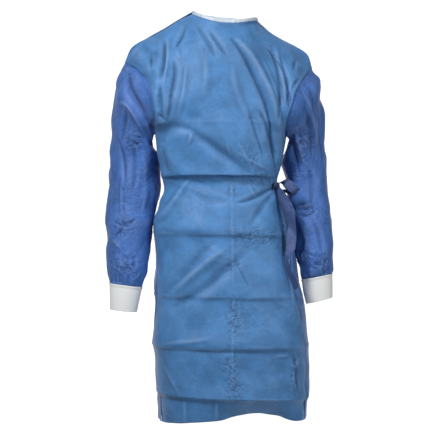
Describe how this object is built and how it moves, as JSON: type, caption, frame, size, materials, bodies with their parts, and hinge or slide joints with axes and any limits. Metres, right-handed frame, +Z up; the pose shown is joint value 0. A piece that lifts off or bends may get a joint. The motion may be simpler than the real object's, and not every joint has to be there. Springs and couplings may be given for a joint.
{
  "type": "surgical gown",
  "caption": "Long-sleeved surgical gown of blue nonwoven cloth, filled out as worn, with white knit cuffs, a bound neck, a wrap-over back and a waist tie knotted at the side",
  "frame": {"origin": "the middle of the neck opening, where the wearer holds the gown up", "axes": "+Z is up, the front faces -Y, and +X is towards the wearer's left"},
  "size_m": [0.5849, 0.3127, 1.0646],
  "materials": {
    "front_cloth": "light blue SMS nonwoven with a faint point-bond emboss, satin",
    "back_cloth": "slightly more violet blue SMS nonwoven, satin",
    "sleeve_cloth": "darker violet blue SMS nonwoven, satin",
    "cuff_knit": "white fine rib knit, matte",
    "neck_binding": "white nonwoven binding, matte",
    "tie_tape": "thin lilac blue nonwoven tape, slightly see-through, satin"
  },
  "bodies": {
    "root": {"front_panel": "front_cloth", "back_outer_flap": "back_cloth", "back_inner_flap": "back_cloth", "sleeve_right": "sleeve_cloth", "sleeve_left": "sleeve_cloth", "cuff_right": "cuff_knit", "cuff_left": "cuff_knit", "neck_binding": "neck_binding", "waist_tie": "tie_tape", "tie_knot": "tie_tape", "tie_loop": "tie_tape", "tie_tail_front": "tie_tape", "tie_tail_rear": "tie_tape"}
  },
  "joints": []
}
